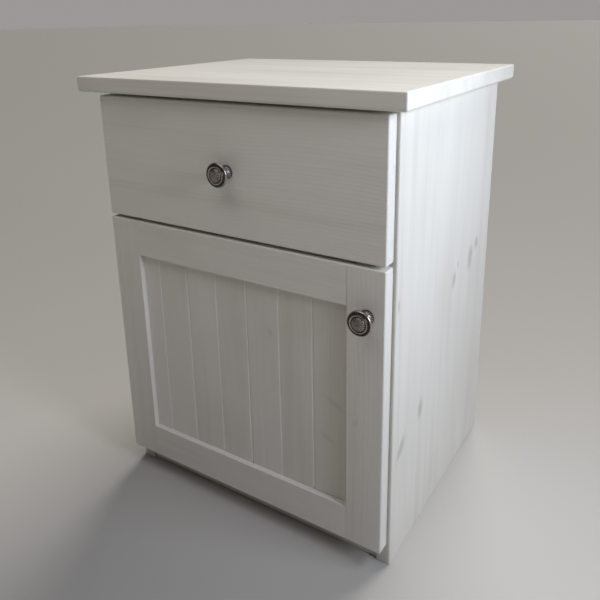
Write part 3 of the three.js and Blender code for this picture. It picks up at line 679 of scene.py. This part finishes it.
PLYWOOD_BOARDS = {"back_panel": (Z, PLY), "drawer_bottom": (X, PLY)}
FIGURES = {"side_left": 1.2, "side_right": 1.2, "drawer_front": 1.5}
LINING_EDGE = 0.12 * MM
PLY_EDGE = 0.25 * MM
DOOR_SEAM = 162 * MM  # The door's rails close against its stiles just beyond this X, left and right.

for seed, (node, (axis, stave, knots)) in enumerate(LIMED_BOARDS.items(), start=1):
    tone = DOOR_TONE if node.startswith("door_") else TONE
    figure = FIGURES.get(node, 1.0)
    darkness = SIDE_KNOT_DARKNESS if node.startswith("side") else KNOT_DARKNESS
    grooved = node.startswith("door_lining")
    look = (tone, figure, darkness, grooved)
    finish = limed_pine(f"limed_{node}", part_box(node), axis, stave, seed, knots, *look)
    seam = DOOR_SEAM if node.startswith("door_rail") else None
    eased(node, finish, LINING_EDGE if grooved else BOARD_EDGE, seam)
for seed, (node, (axis, stave, knots)) in enumerate(BARE_BOARDS.items(), start=31):
    eased(node, bare_pine(f"pine_{node}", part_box(node), axis, stave, seed, knots), BOARD_EDGE)
for seed, (node, (axis, ply)) in enumerate(PLYWOOD_BOARDS.items(), start=41):
    eased(node, plywood(f"plywood_{node}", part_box(node), axis, seed, ply), PLY_EDGE)

TOP_STAVE = 96 * MM
TOP_SEED = 51
TOP_KNOTS = [(0.07, 0.06, 0.010, 0.016, 0)]
top_board(limed_pine("limed_top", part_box("top"), X, TOP_STAVE, TOP_SEED, TOP_KNOTS))

for node in ("drawer_knob", "door_knob"):
    low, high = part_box(node)
    knob(f"{node}_turned", node, aged_bronze(f"bronze_{node}", (low + high) / 2))

FINISHES = {
    "plain_steel": plain_steel("nickel_steel"),
    "coated_steel": coated_steel("powder_coat"),
    "nylon": moulded("nylon", NYLON, 0.36),
    "black_plastic": moulded("black_plastic", BLACK_PLASTIC, 0.42),
    "clear_rubber": moulded("clear_rubber", CLEAR_RUBBER, 0.3),
}
FITTING_EDGE = 0.18 * MM
for node, slot in SLOTS.items():
    if slot in FINISHES:
        eased(node, FINISHES[slot], FITTING_EDGE)


# ---- Stage ----
FLOOR_HALF = 60.0

# Name, spot, target, size in metres, power in watts and colour.
AREA_LIGHTS = [
    ("window", (2.05, -0.54, 1.2), (0.0, -0.1, 0.4), (0.5, 0.7), 13.9, (0.81, 0.84, 1.0)),
    ("window_glow", (0.70, -0.13, 0.69), (0.21, -0.13, 0.68), (0.3, 0.3), 3.0, (0.76, 0.86, 1.0)),
    ("room", (0.0, -0.6, 1.45), (0, -0.1, 0.5), (0.9, 0.9), 3.4, (1.0, 0.94, 0.90)),
]
SKY_SOURCE = (0.05, 1.0, 1.1)
SKY_POWER = 2.45
SKY_SPREAD = math.radians(40)
SKY_COLOR = (1.0, 0.985, 0.95)

# The world's strength everywhere and what the horizon adds, and the sines of the heights where that fades.
ROOM_DIM = 0.05
HORIZON_BRIGHT = 0.28
HORIZON_TOP = 0.14
HORIZON_FULL = 0.06


def floor():
    """A wide pale floor, which isn't part of the cabinet."""
    mesh = bpy.data.meshes.new("floor")
    half = FLOOR_HALF
    corners = [(-half, -half, 0), (half, -half, 0), (half, half, 0), (-half, half, 0)]
    mesh.from_pydata(corners, [], [(0, 1, 2, 3)])
    made = bpy.data.objects.new("floor", mesh)
    finish, _ = material("floor", FLOOR_COLOR, roughness=0.8)
    mesh.materials.append(finish)
    bpy.context.scene.collection.objects.link(made)


def area_light(name, spot, target, size, power, color):
    """A rectangular lamp at spot that faces target. Its size is width, then height."""
    data = bpy.data.lights.new(name, "AREA")
    data.shape = "RECTANGLE"
    data.size, data.size_y = size
    data.energy = power
    data.color = color
    made = bpy.data.objects.new(name, data)
    made.location = spot
    made.rotation_mode = "QUATERNION"
    made.rotation_quaternion = (Vector(target) - Vector(spot)).to_track_quat("-Z", "Y")
    bpy.context.scene.collection.objects.link(made)


def sky_light():
    """Even light from the direction of SKY_SOURCE, softened over SKY_SPREAD of the sky."""
    data = bpy.data.lights.new("skylight", "SUN")
    data.energy = SKY_POWER
    data.angle = SKY_SPREAD
    data.color = SKY_COLOR
    made = bpy.data.objects.new("skylight", data)
    made.rotation_mode = "QUATERNION"
    made.rotation_quaternion = Vector(SKY_SOURCE).to_track_quat("Z", "Y")
    bpy.context.scene.collection.objects.link(made)


def room_world():
    """Dim warm light from all round, brighter in a band along the horizon."""
    world = bpy.data.worlds.new("room")
    world.use_nodes = True
    tree = world.node_tree
    height = place(tree, "Generated")[Z].math("ABSOLUTE")
    backdrop = tree.nodes["Background"]
    backdrop.inputs["Color"].default_value = (*ROOM_COLOR, 1.0)
    strength = ease(height, HORIZON_TOP, HORIZON_FULL) * HORIZON_BRIGHT + ROOM_DIM
    feed(tree, strength, backdrop.inputs["Strength"])
    bpy.context.scene.world = world


floor()
camera()
for light in AREA_LIGHTS:
    area_light(*light)
sky_light()
room_world()
bpy.context.scene.view_settings.view_transform = "Standard"
